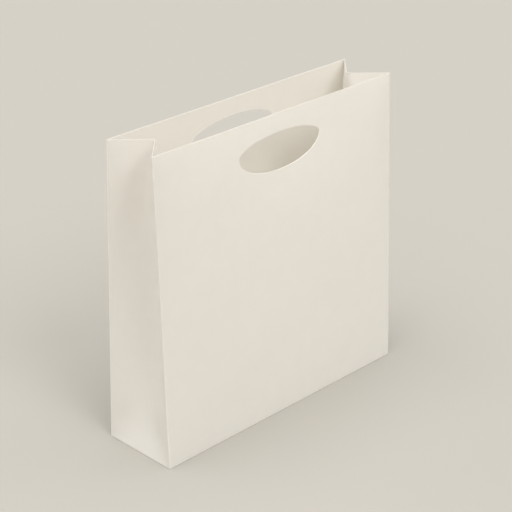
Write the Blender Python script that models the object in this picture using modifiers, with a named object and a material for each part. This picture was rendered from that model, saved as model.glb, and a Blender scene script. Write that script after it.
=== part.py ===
"""A white paper carrier bag that stands open, in metres, with +Z up.

The bag is one folded sheet: two large panels that lean in towards the mouth, two side
gussets folded inwards along their middles, and a flat base. One oval hand hole goes
straight through both large panels. The origin is under the middle of the base, and
the front panel faces -Y.
"""
import math

import bmesh
import bpy
from mathutils import Matrix

# The sheet
PAPER_THICKNESS = 0.0005
FOLD_REACH = 0.0020             # how far a fold's rounding reaches on each side of it
PAPER_COLOR = (0.76, 0.715, 0.63, 1.0)
PAPER_ROUGHNESS = 0.85

# The bag, measured outside to the sharp corners that the folds round off
BAG_WIDTH = 0.300
BAG_DEPTH = 0.081               # front to back at the base
BAG_HEIGHT = 0.297
PANEL_LEAN = 0.0117             # how far each large panel leans in at the mouth

# The gusset's middle crease is crisp at both ends and opens into a soft trough between them.
# Softness is the share of half a gusset that bends: 0 is a sharp crease, 1 is one round arc.
CREASE_SOFTNESS_AT_ENDS = 0.04
CREASE_SOFTNESS_BETWEEN = 0.85

# The hand hole: an oval whose lower half is deeper than its upper half
HAND_HOLE_WIDTH = 0.102
HAND_HOLE_RISE = 0.0140         # from its widest line up
HAND_HOLE_DROP = 0.0215         # from its widest line down
HAND_HOLE_BELOW_EDGE = 0.0315   # from the bag's cut edge down to its widest line

# Mesh steps
GUSSET_ROWS = 18
FLAT_COLUMNS = 2
CREASE_COLUMNS = 6
FOLD_SEGMENTS = 3
HAND_HOLE_POINTS = 72

# Worked out from the sizes above
HALF_WIDTH = BAG_WIDTH / 2
HALF_GUSSET = BAG_DEPTH / 2
LEAN_SLOPE = PANEL_LEAN / BAG_HEIGHT
# The base's triangle is half a square of paper, so its apex lies half a gusset up the sheet
APEX_HEIGHT = HALF_GUSSET / (1 + LEAN_SLOPE)
FOLD_ANGLE = math.radians(60)   # the upright and base folds turn more than this
MERGE_DISTANCE = 0.00001
SLANT_HALVINGS = 40


def half_depth(height):
    """Distance from the middle plane to a large panel."""
    return HALF_GUSSET - LEAN_SLOPE * height


def crease_softness(height):
    share = (height - APEX_HEIGHT) / (BAG_HEIGHT - APEX_HEIGHT)
    opening = math.sin(math.pi * share)
    return CREASE_SOFTNESS_AT_ENDS + (CREASE_SOFTNESS_BETWEEN - CREASE_SOFTNESS_AT_ENDS) * opening


def gusset_slant(depth, softness):
    """The angle that lets half a gusset, part flat and part arc, reach over this depth."""
    low, high = 0.001, math.pi / 2
    for _ in range(SLANT_HALVINGS):
        slant = (low + high) / 2
        reach = (1 - softness) * math.cos(slant) + softness * math.sin(slant) / slant
        if HALF_GUSSET * reach > depth:
            low = slant
        else:
            high = slant
    return slant


def gusset_row(height):
    """Points from the front upright fold at +X to the middle plane: a flat, then an arc."""
    fold = half_depth(height)
    softness = crease_softness(height)
    slant = gusset_slant(fold, softness)
    flat_length = HALF_GUSSET * (1 - softness)
    radius = HALF_GUSSET * softness / slant
    points = []
    for step in range(FLAT_COLUMNS):
        run = flat_length * step / FLAT_COLUMNS
        points.append((HALF_WIDTH - run * math.sin(slant), run * math.cos(slant) - fold, height))
    arc_middle = HALF_WIDTH - flat_length * math.sin(slant) + radius * math.cos(slant)
    for step in range(CREASE_COLUMNS + 1):
        angle = slant * (1 - step / CREASE_COLUMNS)
        points.append((arc_middle - radius * math.cos(angle), -radius * math.sin(angle), height))
    return points


def row_height(row):
    """Rows lie closer together near the base's triangle and near the mouth."""
    share = (1 - math.cos(math.pi * row / GUSSET_ROWS)) / 2
    return APEX_HEIGHT + (BAG_HEIGHT - APEX_HEIGHT) * share


def quarter_sheet():
    """The quarter of the sheet at +X and -Y, open along both middle planes."""
    sheet = bmesh.new()
    heights = [row_height(row) for row in range(GUSSET_ROWS + 1)]
    rows = [[sheet.verts.new(point) for point in gusset_row(height)] for height in heights]
    base_middle = sheet.verts.new((0, 0, 0))
    base_front = sheet.verts.new((0, -HALF_GUSSET, 0))
    base_corner = sheet.verts.new((HALF_WIDTH, -HALF_GUSSET, 0))
    base_side = sheet.verts.new((HALF_WIDTH, 0, 0))
    mouth_front = sheet.verts.new((0, -half_depth(BAG_HEIGHT), BAG_HEIGHT))

    for lower, upper in zip(rows, rows[1:]):
        for column in range(len(lower) - 1):
            sheet.faces.new((lower[column], lower[column + 1], upper[column + 1], upper[column]))
    apex_row = rows[0]
    sheet.faces.new([base_corner] + apex_row[FLAT_COLUMNS::-1])
    sheet.faces.new([base_corner, base_side] + apex_row[:FLAT_COLUMNS - 1:-1])
    sheet.faces.new([base_front, base_corner] + [row[0] for row in rows] + [mouth_front])
    sheet.faces.new((base_side, base_corner, base_front, base_middle))

    mesh = bpy.data.meshes.new("paper_bag")
    sheet.to_mesh(mesh)
    sheet.free()
    return mesh


def hand_hole_cutter(collection):
    """An oval bar that runs from front to back through both large panels."""
    length = 2 * BAG_DEPTH
    lay_along_y = Matrix.Rotation(math.radians(90), 4, "X")
    bar = bmesh.new()
    bmesh.ops.create_cone(bar, cap_ends=True, segments=HAND_HOLE_POINTS, radius1=1,
                          radius2=1, depth=length, matrix=lay_along_y)
    for vertex in bar.verts:
        vertex.co.x *= HAND_HOLE_WIDTH / 2
        vertex.co.z *= HAND_HOLE_RISE if vertex.co.z > 0 else HAND_HOLE_DROP
    mesh = bpy.data.meshes.new("hand_hole_cutter")
    bar.to_mesh(mesh)
    bar.free()
    cutter = bpy.data.objects.new("hand_hole_cutter", mesh)
    cutter.location = (0, 0, BAG_HEIGHT - HAND_HOLE_BELOW_EDGE)
    cutter.display_type = "WIRE"
    cutter.hide_render = True
    collection.objects.link(cutter)
    return cutter


def paper_material():
    material = bpy.data.materials.new("white_paper")
    material.use_nodes = True
    shader = material.node_tree.nodes["Principled BSDF"]
    shader.inputs["Base Color"].default_value = PAPER_COLOR
    shader.inputs["Roughness"].default_value = PAPER_ROUGHNESS
    shader.inputs["Metallic"].default_value = 0.0
    return material


def paper_bag(collection, cutter):
    """Mirror the quarter, round its folds, give it the paper's thickness and cut the holes."""
    bag = bpy.data.objects.new("paper_bag", quarter_sheet())
    bag.data.materials.append(paper_material())
    collection.objects.link(bag)

    mirror = bag.modifiers.new("whole sheet", "MIRROR")
    mirror.use_axis = (True, True, False)
    mirror.merge_threshold = MERGE_DISTANCE

    fold = bag.modifiers.new("rounded folds", "BEVEL")
    fold.width = FOLD_REACH
    fold.segments = FOLD_SEGMENTS
    fold.limit_method = "ANGLE"
    fold.angle_limit = FOLD_ANGLE

    paper = bag.modifiers.new("paper thickness", "SOLIDIFY")
    paper.thickness = PAPER_THICKNESS
    paper.offset = -1
    paper.use_even_offset = True

    hole = bag.modifiers.new("hand holes", "BOOLEAN")
    hole.operation = "DIFFERENCE"
    hole.solver = "EXACT"
    hole.object = cutter
    return bag


def new_collection(name):
    collection = bpy.data.collections.new(name)
    bpy.context.scene.collection.children.link(collection)
    return collection


for leftover in list(bpy.data.objects):
    bpy.data.objects.remove(leftover)
hole_cutter = hand_hole_cutter(new_collection("cutters"))
paper_bag(new_collection("paper_bag"), hole_cutter)
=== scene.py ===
"""The looks of a white paper carrier bag that stands open, in metres, with +Z up.

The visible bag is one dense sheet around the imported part: its panels, gussets and base have
the part's own shape, its folds are rounded as stiff paper folds, the foot of each gusset is a
soft bend, and its hand holes are cut straight through. It stands on a plain pale floor under
soft studio light.
"""

import math

import bpy
import numpy as np
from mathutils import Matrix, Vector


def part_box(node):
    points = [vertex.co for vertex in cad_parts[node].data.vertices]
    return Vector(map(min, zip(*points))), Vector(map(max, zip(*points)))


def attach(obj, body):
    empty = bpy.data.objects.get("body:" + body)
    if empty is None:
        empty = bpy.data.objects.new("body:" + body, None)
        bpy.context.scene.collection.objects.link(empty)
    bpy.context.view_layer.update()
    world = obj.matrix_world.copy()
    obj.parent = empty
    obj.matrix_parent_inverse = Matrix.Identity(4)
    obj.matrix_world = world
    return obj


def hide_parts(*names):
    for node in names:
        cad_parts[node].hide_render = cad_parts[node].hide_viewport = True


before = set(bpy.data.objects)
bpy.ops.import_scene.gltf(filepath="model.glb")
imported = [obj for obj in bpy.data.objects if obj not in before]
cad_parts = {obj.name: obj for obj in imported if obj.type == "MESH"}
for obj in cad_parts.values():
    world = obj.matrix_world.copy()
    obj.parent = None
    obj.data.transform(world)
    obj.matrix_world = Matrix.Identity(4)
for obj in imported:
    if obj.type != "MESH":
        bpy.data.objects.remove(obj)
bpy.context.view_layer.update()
bag_lowest, bag_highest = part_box("paper_bag")

# The bag, measured outside to the sharp corners that the folds round off
FOLD_TRIM = 0.0006              # what the rounding takes off each upright fold
HALF_WIDTH = (bag_highest.x - bag_lowest.x) / 2 + FOLD_TRIM
HALF_GUSSET = 0.0405            # half the depth at the base
BAG_HEIGHT = bag_highest.z - bag_lowest.z
PANEL_LEAN = 0.0117             # how far each large panel leans in at the mouth
LEAN_SLOPE = PANEL_LEAN / BAG_HEIGHT
APEX_HEIGHT = HALF_GUSSET / (1 + LEAN_SLOPE)    # top of the triangle at the foot of a gusset
PAPER_THICKNESS = 0.0005

# The gusset's middle crease: 0 is a sharp crease, 1 is one round arc
CREASE_SOFTNESS_AT_ENDS = 0.04
CREASE_SOFTNESS_BETWEEN = 0.85
SLANT_HALVINGS = 40
LEAST_SLANT = 0.001
LEAST_SHARE = 1e-6              # keeps the base's own level clear of a division by zero

# The hand hole: an oval whose lower half is deeper than its upper half
HAND_HOLE_WIDTH = 0.102
HAND_HOLE_RISE = 0.0140
HAND_HOLE_DROP = 0.0215
HAND_HOLE_BELOW_EDGE = 0.0315
HAND_HOLE_POINTS = 180

# The mesh: the sheet is sampled finely, its folds are rounded, and fewer points are kept
SAMPLE_STEP = 0.0005
FOLD_REACH = 0.0015             # how far an upright fold's rounding reaches on each side of it
BASE_FOLD_REACH = 0.0010        # the same for the fold around the base
BASE_RIM = 0.006                # the strip of the base that belongs to the sampled sheet
PANEL_STEP = 0.0050
GUSSET_STEP = 0.0015
UPPER_ROW_STEP = 0.0040
LOWER_ROW_STEP = 0.0015
FINE_ROWS_BELOW = 0.045         # the small rows reach above the gusset's triangle
SHARP_EDGE = math.radians(30)

# The foot of a gusset: its slanting folds and the end of its crease are soft bends
FOOT_SOFT_BELOW = 0.105
FOOT_SOFT_FROM_FOLD = 0.012     # the bends grow to full softness this far from a crisp fold
FOOT_SOFT_FROM_BASE = 0.008
FOOT_PASSES = 500

# Slow waves that keep the large panels from being perfectly flat
WAVE_HEIGHT = 0.00012
WAVE_LENGTHS = (0.150, 0.085, 0.061)
WAVE_FADE_POWER = 4             # a higher power lets the waves run closer to the upright folds

# The camera, at the photograph's viewing angle
CAMERA_YAW = math.radians(45.18)        # turned from +Y towards +X
CAMERA_PITCH = math.radians(25.54)      # looking down
CAMERA_DISTANCE = 1.5382
CAMERA_AIM = (0.0406, 0.0404, 0.1199)
CAMERA_CLIP_START = 0.05
FRAME_PIXELS = 512
FOCAL_PIXELS = 1585
SENSOR_WIDTH = 36.0

# The paper's finish
PAPER_COLOR = (0.908, 0.886, 0.843)
PAPER_LETS_THROUGH = 0.40       # share of the light that the paper scatters to its other side
PAPER_CLOUDS = 0.005            # how far the tint strays either way, as a share of the colour
PAPER_GLOSS = 0.25
PAPER_ROUGHNESS = (0.80, 0.95)
FIBRE_COLOR = (0.860, 0.800, 0.700)     # a few darker fibres pressed into the surface
FIBRE_COLOR_SHARE = 0.35
# Lighter colour along the folds: partly worn paper, partly a painted highlight where the rounded folds
# catch the light
FOLD_WEAR_AND_HIGHLIGHT_COLOR = (0.917, 0.898, 0.858)
FOLD_WEAR_AND_HIGHLIGHT_REACH = 0.0022        # the lighter strip of wear and painted highlight reaches this far from a fold
SHADED_CUT_EDGE_COLOR = (0.760, 0.738, 0.692)  # painted shade: the mouth's upward-facing cut edge, coloured darker so that the light from above does not show it as a bright line
CUT_EDGE_REACH = 0.0001
RELIEF_STRENGTH = 0.25
RELIEF_HEIGHT = 0.00008

# The paper's noise patterns: how many to the metre, then their detail and roughness
CLOUD_NOISE = (70, 3, 0.6)
FIBRE_NOISE = (1400, 4, 0.7)
DARK_FIBRE_NOISE = (900, 2, 0.5)
FOLD_WEAR_AND_HIGHLIGHT_NOISE = (260, 4, 0.65)
TOOTH_NOISE = (330, 3, 0.6)

# The stretch of each pattern over which it goes from none to full
CLOUD_RANGE = (0.3, 0.7)
FIBRE_RANGE = (0.2, 0.8)
DARK_FIBRE_RANGE = (0.68, 0.80)
FOLD_WEAR_AND_HIGHLIGHT_RANGE = (0.42, 0.62)

# Light and surroundings
FLOOR_SIZE = 200.0
FLOOR_COLOR = (0.402, 0.381, 0.342, 1.0)
FLOOR_GLOSS = 0.1
FLOOR_ROUGHNESS = 0.9
WORLD_COLOR = (1.0, 1.0, 1.0, 1.0)
WORLD_STRENGTH = 0.44
BACKGROUND_COLOR = (0.655, 0.622, 0.557, 1.0)   # the lit floor's tone, seen beyond its edge
# Each lamp: the azimuth it shines from (0 is the front, 90 the right), its elevation and how
# wide it looks from the bag, all in degrees, then its strength
LAMPS = {
    "key": (-8, 43, 28, 1.15),
    "front_left": (-40, 55, 60, 0.34),
    "front_right": (55, 35, 40, 0.24),
    "above": (0, 90, 60, 1.68),
    "left": (-80, 60, 60, 0.86),
    "low_left": (-110, 15, 60, 0.20),
    "back_left": (-150, 20, 40, 0.43),
}


def half_depth(height):
    """Distance from the middle plane to a large panel."""
    return HALF_GUSSET - LEAN_SLOPE * height


def crease_softness(height):
    """Crisp at the mouth and at the foot's triangle, soft between them."""
    share = min(max((height - APEX_HEIGHT) / (BAG_HEIGHT - APEX_HEIGHT), 0), 1)
    opening = math.sin(math.pi * share)
    return CREASE_SOFTNESS_AT_ENDS + (CREASE_SOFTNESS_BETWEEN - CREASE_SOFTNESS_AT_ENDS) * opening


def gusset_slant(depth, softness):
    """The angle that lets half a gusset, part flat and part arc, reach over this depth."""
    low, high = LEAST_SLANT, math.pi / 2
    for _ in range(SLANT_HALVINGS):
        slant = (low + high) / 2
        reach = (1 - softness) * math.cos(slant) + softness * math.sin(slant) / slant
        if HALF_GUSSET * reach > depth:
            low = slant
        else:
            high = slant
    return slant


def upper_gusset(runs, height):
    """x and y at distances along the paper from the front upright fold: a flat, then an arc."""
    fold = half_depth(height)
    softness = crease_softness(height)
    slant = gusset_slant(fold, softness)
    flat = HALF_GUSSET * (1 - softness)
    radius = HALF_GUSSET * softness / slant
    arc_middle = HALF_WIDTH - flat * math.sin(slant) + radius * math.cos(slant)
    angle = (HALF_GUSSET - runs) / radius
    x = np.where(runs < flat, HALF_WIDTH - runs * math.sin(slant), arc_middle - radius * np.cos(angle))
    y = np.where(runs < flat, runs * math.cos(slant) - fold, -radius * np.sin(angle))
    return x, y


def lower_gusset(runs, height):
    """x and y beside the triangle at the gusset's foot, whose two sides are slanting folds."""
    share = height / APEX_HEIGHT
    apex_depth = math.sqrt(HALF_GUSSET ** 2 - half_depth(APEX_HEIGHT) ** 2)
    corner = np.array((HALF_WIDTH, -half_depth(height)))
    fold = np.array((HALF_WIDTH - apex_depth * share, -HALF_GUSSET * (1 - share)))
    beside = np.clip(runs / (HALF_GUSSET * max(share, LEAST_SHARE)), 0, 1)
    across = np.clip(runs - HALF_GUSSET * share, 0, None)
    x = corner[0] + (fold[0] - corner[0]) * beside
    y = corner[1] + (fold[1] - corner[1]) * beside + across
    return x, y


def base_rim(runs, gusset_runs, inset):
    """One line of the base, this far in from its edge."""
    panel = runs <= HALF_WIDTH
    x = np.where(panel, runs * (1 - inset / HALF_WIDTH), HALF_WIDTH - inset)
    y = np.where(panel, inset - HALF_GUSSET, (gusset_runs - HALF_GUSSET) * (1 - inset / HALF_GUSSET))
    return np.stack((x, y, np.zeros_like(runs)), 1)


def sheet_row(runs, height):
    """One level of a quarter sheet, with sharp folds; a negative height is a rim of the base."""
    gusset_runs = np.clip(runs - HALF_WIDTH, 0, None)
    if height < 0:
        return base_rim(runs, gusset_runs, -height)
    panel = runs <= HALF_WIDTH
    gusset = upper_gusset if height > APEX_HEIGHT else lower_gusset
    x, y = gusset(gusset_runs, height)
    x = np.where(panel, runs, x)
    y = np.where(panel, -half_depth(height), y)
    return np.stack((x, y, np.full_like(runs, height)), 1)


def smoothed(points, axis, reach):
    """A running mean with soft ends along one axis of the grid; it shortens that axis."""
    weights = np.hanning(2 * reach + 3)[1:-1]
    weights /= weights.sum()
    count = points.shape[axis] - 2 * reach
    slices = [np.take(points, range(start, start + count), axis) for start in range(2 * reach + 1)]
    return sum(weight * part for weight, part in zip(weights, slices))


def eased(share):
    """Go from 0 to 1 with a soft start and a soft end."""
    share = np.clip(share, 0, 1)
    return share * share * (3 - 2 * share)


def soft_foot(grid, fold_column, base_row):
    """Even out the gusset's foot bit by bit; the upright and base folds keep their place."""
    top_row = base_row + round(FOOT_SOFT_BELOW / SAMPLE_STEP)
    foot = grid[base_row:top_row, fold_column:].copy()
    rows, columns = foot.shape[:2]
    heights = np.arange(rows)[:, None] * SAMPLE_STEP
    runs = np.arange(columns)[None, :] * SAMPLE_STEP
    softness = (eased(runs / FOOT_SOFT_FROM_FOLD) * eased(heights / FOOT_SOFT_FROM_BASE)
                * eased((FOOT_SOFT_BELOW - heights) / (FOOT_SOFT_BELOW - APEX_HEIGHT)))[1:-1, 1:, None]
    for _ in range(FOOT_PASSES):
        inner = foot[1:-1, 1:]
        # Past the gusset's middle the sheet is its own mirror image
        beyond = np.concatenate((foot[1:-1, 2:], foot[1:-1, -2:-1] * (1, -1, 1)), 1)
        around = (foot[:-2, 1:] + foot[2:, 1:] + foot[1:-1, :-1] + beyond) / 4
        foot[1:-1, 1:] = inner + (around - inner) * softness
    grid[base_row:top_row, fold_column:] = foot
    return grid


def quarter_grid():
    """The quarter sheet at +X and -Y with rounded folds, every SAMPLE_STEP each way."""
    reach = round(FOLD_REACH / SAMPLE_STEP)
    base_reach = round(BASE_FOLD_REACH / SAMPLE_STEP)
    runs = np.arange(round((HALF_WIDTH + HALF_GUSSET) / SAMPLE_STEP) + 1) * SAMPLE_STEP
    runs[-1] = HALF_WIDTH + HALF_GUSSET
    below = round(BASE_RIM / SAMPLE_STEP) + base_reach
    above = round(BAG_HEIGHT / SAMPLE_STEP) + base_reach
    grid = np.array([sheet_row(runs, level * SAMPLE_STEP) for level in range(-below, above + 1)])
    grid = soft_foot(grid, round(HALF_WIDTH / SAMPLE_STEP), below)
    front = grid[:, reach:0:-1] * (-1, 1, 1)
    side = grid[:, -2:-2 - reach:-1] * (1, -1, 1)
    grid = np.concatenate((front, grid, side), 1)
    return smoothed(smoothed(grid, 0, base_reach), 1, reach)


def kept(*stretches):
    """Sample numbers along one way: each stretch is (start, end, step) in metres."""
    numbers = set()
    for start, end, step in stretches:
        count = max(1, round((end - start) / step))
        numbers |= {round((start + (end - start) * n / count) / SAMPLE_STEP) for n in range(count + 1)}
    return sorted(numbers)


def bag_rings():
    """All rows of the whole sheet, each a closed ring of points around the bag."""
    grid = quarter_grid()
    fold = HALF_WIDTH
    near = 2 * FOLD_REACH
    columns = kept((0, fold - near, PANEL_STEP), (fold - near, fold + near, SAMPLE_STEP),
                   (fold + near, fold + HALF_GUSSET, GUSSET_STEP))
    rows = kept((-BASE_RIM, near, SAMPLE_STEP), (near, FINE_ROWS_BELOW, LOWER_ROW_STEP),
                (FINE_ROWS_BELOW, BAG_HEIGHT, UPPER_ROW_STEP))
    first = round(BASE_RIM / SAMPLE_STEP)
    quarter = grid[[row + first for row in rows]][:, columns]
    back = quarter[:, ::-1]
    return np.concatenate((
        quarter[:, :-1],
        back[:, :-1] * (1, -1, 1),
        quarter[:, :-1] * (-1, -1, 1),
        back[:, :-1] * (-1, 1, 1),
    ), 1)


def panel_waves(points):
    """A slow, slight in-and-out of the large panels, none at the folds and the base."""
    x, y, z = points[..., 0], points[..., 1], points[..., 2]
    side = np.sign(y)
    wave = sum(np.sin(2 * math.pi * (x * math.cos(turn) + z * math.sin(turn)) / length + turn + side)
               for turn, length in enumerate(WAVE_LENGTHS, 1))
    across = np.clip(1 - (x / HALF_WIDTH) ** WAVE_FADE_POWER, 0, 1)
    away_from_folds = across * np.clip(z / APEX_HEIGHT, 0, 1)
    on_panel = np.abs(y) > half_depth(z) - FOLD_REACH
    points[..., 1] += side * on_panel * away_from_folds * wave * WAVE_HEIGHT
    return points


def sheet_mesh():
    """The rings joined into one surface, with a single face inside the rim of the base."""
    rings = panel_waves(bag_rings())
    rows, columns = rings.shape[:2]
    faces = [tuple(range(columns - 1, -1, -1))]
    for row in range(rows - 1):
        for column in range(columns):
            beside = (column + 1) % columns
            faces.append((row * columns + column, row * columns + beside,
                          (row + 1) * columns + beside, (row + 1) * columns + column))
    mesh = bpy.data.meshes.new("bag_sheet")
    mesh.from_pydata([tuple(point) for point in rings.reshape(-1, 3)], [], faces)
    mesh.update()
    return mesh


def hand_hole_cutter():
    """An oval bar that runs from front to back through both large panels."""
    middle = BAG_HEIGHT - HAND_HOLE_BELOW_EDGE
    turns = [2 * math.pi * point / HAND_HOLE_POINTS for point in range(HAND_HOLE_POINTS)]
    oval = [(HAND_HOLE_WIDTH / 2 * math.cos(turn),
             middle + (HAND_HOLE_RISE if math.sin(turn) > 0 else HAND_HOLE_DROP) * math.sin(turn))
            for turn in turns]
    length = 2 * HALF_GUSSET
    points = [(x, -length, z) for x, z in oval] + [(x, length, z) for x, z in oval]
    count = HAND_HOLE_POINTS
    faces = [(n, (n + 1) % count, count + (n + 1) % count, count + n) for n in range(count)]
    faces += [tuple(range(count - 1, -1, -1)), tuple(range(count, 2 * count))]
    mesh = bpy.data.meshes.new("hand_hole_cutter")
    mesh.from_pydata(points, [], faces)
    mesh.flip_normals()
    cutter = bpy.data.objects.new("hand_hole_cutter", mesh)
    bpy.context.scene.collection.objects.link(cutter)
    return cutter


def paper_bag():
    """The sheet with its thickness and its hand holes, as one finished mesh."""
    bag = bpy.data.objects.new("bag_sheet", sheet_mesh())
    bpy.context.scene.collection.objects.link(bag)
    paper = bag.modifiers.new("paper thickness", "SOLIDIFY")
    paper.thickness = PAPER_THICKNESS
    paper.offset = -1
    paper.use_even_offset = True
    cutter = hand_hole_cutter()
    hole = bag.modifiers.new("hand holes", "BOOLEAN")
    hole.operation = "DIFFERENCE"
    hole.solver = "EXACT"
    hole.object = cutter
    shaped = bag.evaluated_get(bpy.context.evaluated_depsgraph_get())
    mesh = bpy.data.meshes.new_from_object(shaped)
    bag.modifiers.clear()
    bag.data = mesh
    bpy.data.objects.remove(cutter)
    mesh.shade_smooth()
    mesh.set_sharp_from_angle(angle=SHARP_EDGE)
    mesh.materials.clear()
    mesh.materials.append(paper_material())
    return bag


def new_material(name):
    material = bpy.data.materials.new(name)
    material.use_nodes = True
    return material, material.node_tree.nodes, material.node_tree.links


def noise(nodes, links, place, scale, detail, roughness):
    """A noise pattern in the bag's own metres; scale is patterns per metre."""
    texture = nodes.new("ShaderNodeTexNoise")
    texture.inputs["Scale"].default_value = scale
    texture.inputs["Detail"].default_value = detail
    texture.inputs["Roughness"].default_value = roughness
    links.new(place, texture.inputs["Vector"])
    return texture.outputs["Fac"]


def math_node(nodes, links, operation, *inputs):
    """A Math node whose inputs are other nodes' outputs."""
    node = nodes.new("ShaderNodeMath")
    node.operation = operation
    for socket, value in zip(node.inputs, inputs):
        links.new(value, socket)
    return node.outputs["Value"]


def ramp(nodes, links, value, low, high, to_low=0.0, to_high=1.0):
    """Turn a value between low and high smoothly into another range."""
    node = nodes.new("ShaderNodeMapRange")
    node.interpolation_type = "SMOOTHSTEP"
    node.inputs["From Min"].default_value = low
    node.inputs["From Max"].default_value = high
    node.inputs["To Min"].default_value = to_low
    node.inputs["To Max"].default_value = to_high
    links.new(value, node.inputs["Value"])
    return node.outputs["Result"]


def tinted(nodes, links, share, base, other):
    """Mix two colours; base is a colour or another node's output."""
    node = nodes.new("ShaderNodeMix")
    node.data_type = "RGBA"
    links.new(share, node.inputs["Factor"])
    if isinstance(base, tuple):
        node.inputs["A"].default_value = (*base, 1)
    else:
        links.new(base, node.inputs["A"])
    node.inputs["B"].default_value = (*other, 1)
    return node.outputs["Result"]


def fold_wear_and_highlight(nodes, links, place, parts):
    """Broken lines along the upright folds and the fold around the base: worn paper, and in the colour
    a painted highlight.
    """
    across = math_node(nodes, links, "ABSOLUTE", parts.outputs["X"])
    upright = ramp(nodes, links, across, HALF_WIDTH - FOLD_WEAR_AND_HIGHLIGHT_REACH, HALF_WIDTH - FOLD_TRIM)
    base = ramp(nodes, links, parts.outputs["Z"], 0, FOLD_WEAR_AND_HIGHLIGHT_REACH / 2, 1, 0)
    near = math_node(nodes, links, "MAXIMUM", upright, base)
    broken = ramp(nodes, links, noise(nodes, links, place, *FOLD_WEAR_AND_HIGHLIGHT_NOISE), *FOLD_WEAR_AND_HIGHLIGHT_RANGE)
    return math_node(nodes, links, "MULTIPLY", near, broken)


def paper_tint(nodes, links, place, parts, wear_and_highlight):
    """Slow clouds, a few darker fibres, folds lighter with wear and a painted highlight, and the cut
    edge around the mouth darker as painted shade.
    """
    clouds = ramp(nodes, links, noise(nodes, links, place, *CLOUD_NOISE), *CLOUD_RANGE)
    dark_fibres = ramp(nodes, links, noise(nodes, links, place, *DARK_FIBRE_NOISE),
                       *DARK_FIBRE_RANGE, 0, FIBRE_COLOR_SHARE)
    # Painted shade on the cut edge at the mouth, which faces up into the light
    cut_edge_shade = ramp(nodes, links, parts.outputs["Z"], BAG_HEIGHT - CUT_EDGE_REACH, BAG_HEIGHT)
    deep = tuple(value * (1 - PAPER_CLOUDS) for value in PAPER_COLOR)
    pale = tuple(value * (1 + PAPER_CLOUDS) for value in PAPER_COLOR)
    color = tinted(nodes, links, clouds, deep, pale)
    color = tinted(nodes, links, dark_fibres, color, FIBRE_COLOR)
    # The folds lighter: worn paper and a painted highlight
    color = tinted(nodes, links, wear_and_highlight, color, FOLD_WEAR_AND_HIGHLIGHT_COLOR)
    # The cut edge at the mouth darker: painted shade
    return tinted(nodes, links, cut_edge_shade, color, SHADED_CUT_EDGE_COLOR)


def paper_relief(nodes, links, place, fibres, wear_and_highlight):
    """The unevenness of the surface: its fibres, a coarser tooth and the worn folds."""
    relief = math_node(nodes, links, "ADD", fibres, noise(nodes, links, place, *TOOTH_NOISE))
    relief = math_node(nodes, links, "ADD", relief, wear_and_highlight)
    bump = nodes.new("ShaderNodeBump")
    bump.inputs["Strength"].default_value = RELIEF_STRENGTH
    bump.inputs["Distance"].default_value = RELIEF_HEIGHT
    links.new(relief, bump.inputs["Height"])
    return bump.outputs["Normal"]


def paper_material():
    """Uncoated white paper with a dull surface, which lets part of the light through."""
    material, nodes, links = new_material("white_paper")
    place = nodes.new("ShaderNodeTexCoord").outputs["Object"]
    parts = nodes.new("ShaderNodeSeparateXYZ")
    links.new(place, parts.inputs["Vector"])
    wear_and_highlight = fold_wear_and_highlight(nodes, links, place, parts)
    fibres = noise(nodes, links, place, *FIBRE_NOISE)
    color = paper_tint(nodes, links, place, parts, wear_and_highlight)

    shader = nodes["Principled BSDF"]
    shader.inputs["Specular IOR Level"].default_value = PAPER_GLOSS
    links.new(color, shader.inputs["Base Color"])
    links.new(ramp(nodes, links, fibres, *FIBRE_RANGE, *PAPER_ROUGHNESS), shader.inputs["Roughness"])
    links.new(paper_relief(nodes, links, place, fibres, wear_and_highlight), shader.inputs["Normal"])

    through = nodes.new("ShaderNodeBsdfTranslucent")
    links.new(color, through.inputs["Color"])
    both = nodes.new("ShaderNodeMixShader")
    both.inputs["Fac"].default_value = PAPER_LETS_THROUGH
    links.new(shader.outputs["BSDF"], both.inputs[1])
    links.new(through.outputs["BSDF"], both.inputs[2])
    links.new(both.outputs["Shader"], nodes["Material Output"].inputs["Surface"])
    return material


def floor():
    material, nodes, _ = new_material("pale_floor")
    shader = nodes["Principled BSDF"]
    shader.inputs["Base Color"].default_value = FLOOR_COLOR
    shader.inputs["Roughness"].default_value = FLOOR_ROUGHNESS
    shader.inputs["Specular IOR Level"].default_value = FLOOR_GLOSS
    half = FLOOR_SIZE / 2
    corners = [(-half, -half, 0), (half, -half, 0), (half, half, 0), (-half, half, 0)]
    mesh = bpy.data.meshes.new("floor")
    mesh.from_pydata(corners, [], [(0, 1, 2, 3)])
    mesh.materials.append(material)
    plane = bpy.data.objects.new("floor", mesh)
    bpy.context.scene.collection.objects.link(plane)


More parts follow.
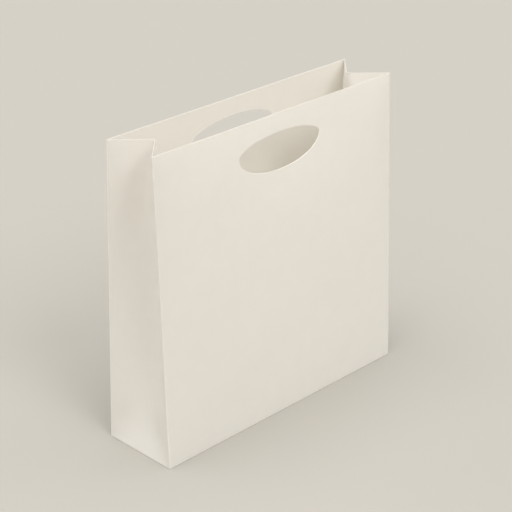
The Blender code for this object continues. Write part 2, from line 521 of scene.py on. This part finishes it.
def lamp(name, azimuth, elevation, width, strength):
    """A wide soft lamp so far away that it lights the floor evenly."""
    data = bpy.data.lights.new(name, "SUN")
    data.angle = math.radians(width)
    data.energy = strength
    light = bpy.data.objects.new(name, data)
    light.rotation_euler = (math.pi / 2 - math.radians(elevation), 0, math.radians(azimuth))
    bpy.context.scene.collection.objects.link(light)


def studio_world():
    """An even light; the camera, gloss and light through paper meet the floor's tone instead."""
    world = bpy.data.worlds.new("studio")
    world.use_nodes = True
    nodes, links = world.node_tree.nodes, world.node_tree.links
    even = nodes["Background"]
    even.inputs["Color"].default_value = WORLD_COLOR
    even.inputs["Strength"].default_value = WORLD_STRENGTH
    seen = nodes.new("ShaderNodeBackground")
    seen.inputs["Color"].default_value = BACKGROUND_COLOR
    ray = nodes.new("ShaderNodeLightPath").outputs
    straight = math_node(nodes, links, "MAXIMUM", ray["Is Camera Ray"], ray["Is Glossy Ray"])
    straight = math_node(nodes, links, "MAXIMUM", straight, ray["Is Transmission Ray"])
    either = nodes.new("ShaderNodeMixShader")
    links.new(straight, either.inputs["Fac"])
    links.new(even.outputs["Background"], either.inputs[1])
    links.new(seen.outputs["Background"], either.inputs[2])
    links.new(either.outputs["Shader"], nodes["World Output"].inputs["Surface"])
    bpy.context.scene.world = world


def surroundings():
    studio_world()
    for name, values in LAMPS.items():
        lamp(name, *values)
    floor()


def camera():
    data = bpy.data.cameras.new("camera")
    data.sensor_width = SENSOR_WIDTH
    data.lens = FOCAL_PIXELS * SENSOR_WIDTH / FRAME_PIXELS
    data.clip_start = CAMERA_CLIP_START
    view = bpy.data.objects.new("camera", data)
    ahead = (math.sin(CAMERA_YAW) * math.cos(CAMERA_PITCH),
             math.cos(CAMERA_YAW) * math.cos(CAMERA_PITCH),
             -math.sin(CAMERA_PITCH))
    view.location = [aim - CAMERA_DISTANCE * way for aim, way in zip(CAMERA_AIM, ahead)]
    view.rotation_euler = (math.pi / 2 - CAMERA_PITCH, 0, -CAMERA_YAW)
    bpy.context.scene.collection.objects.link(view)
    bpy.context.scene.camera = view


bag = paper_bag()
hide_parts("paper_bag")
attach(bag, "root")
camera()
surroundings()
bpy.context.scene.view_settings.view_transform = "Standard"
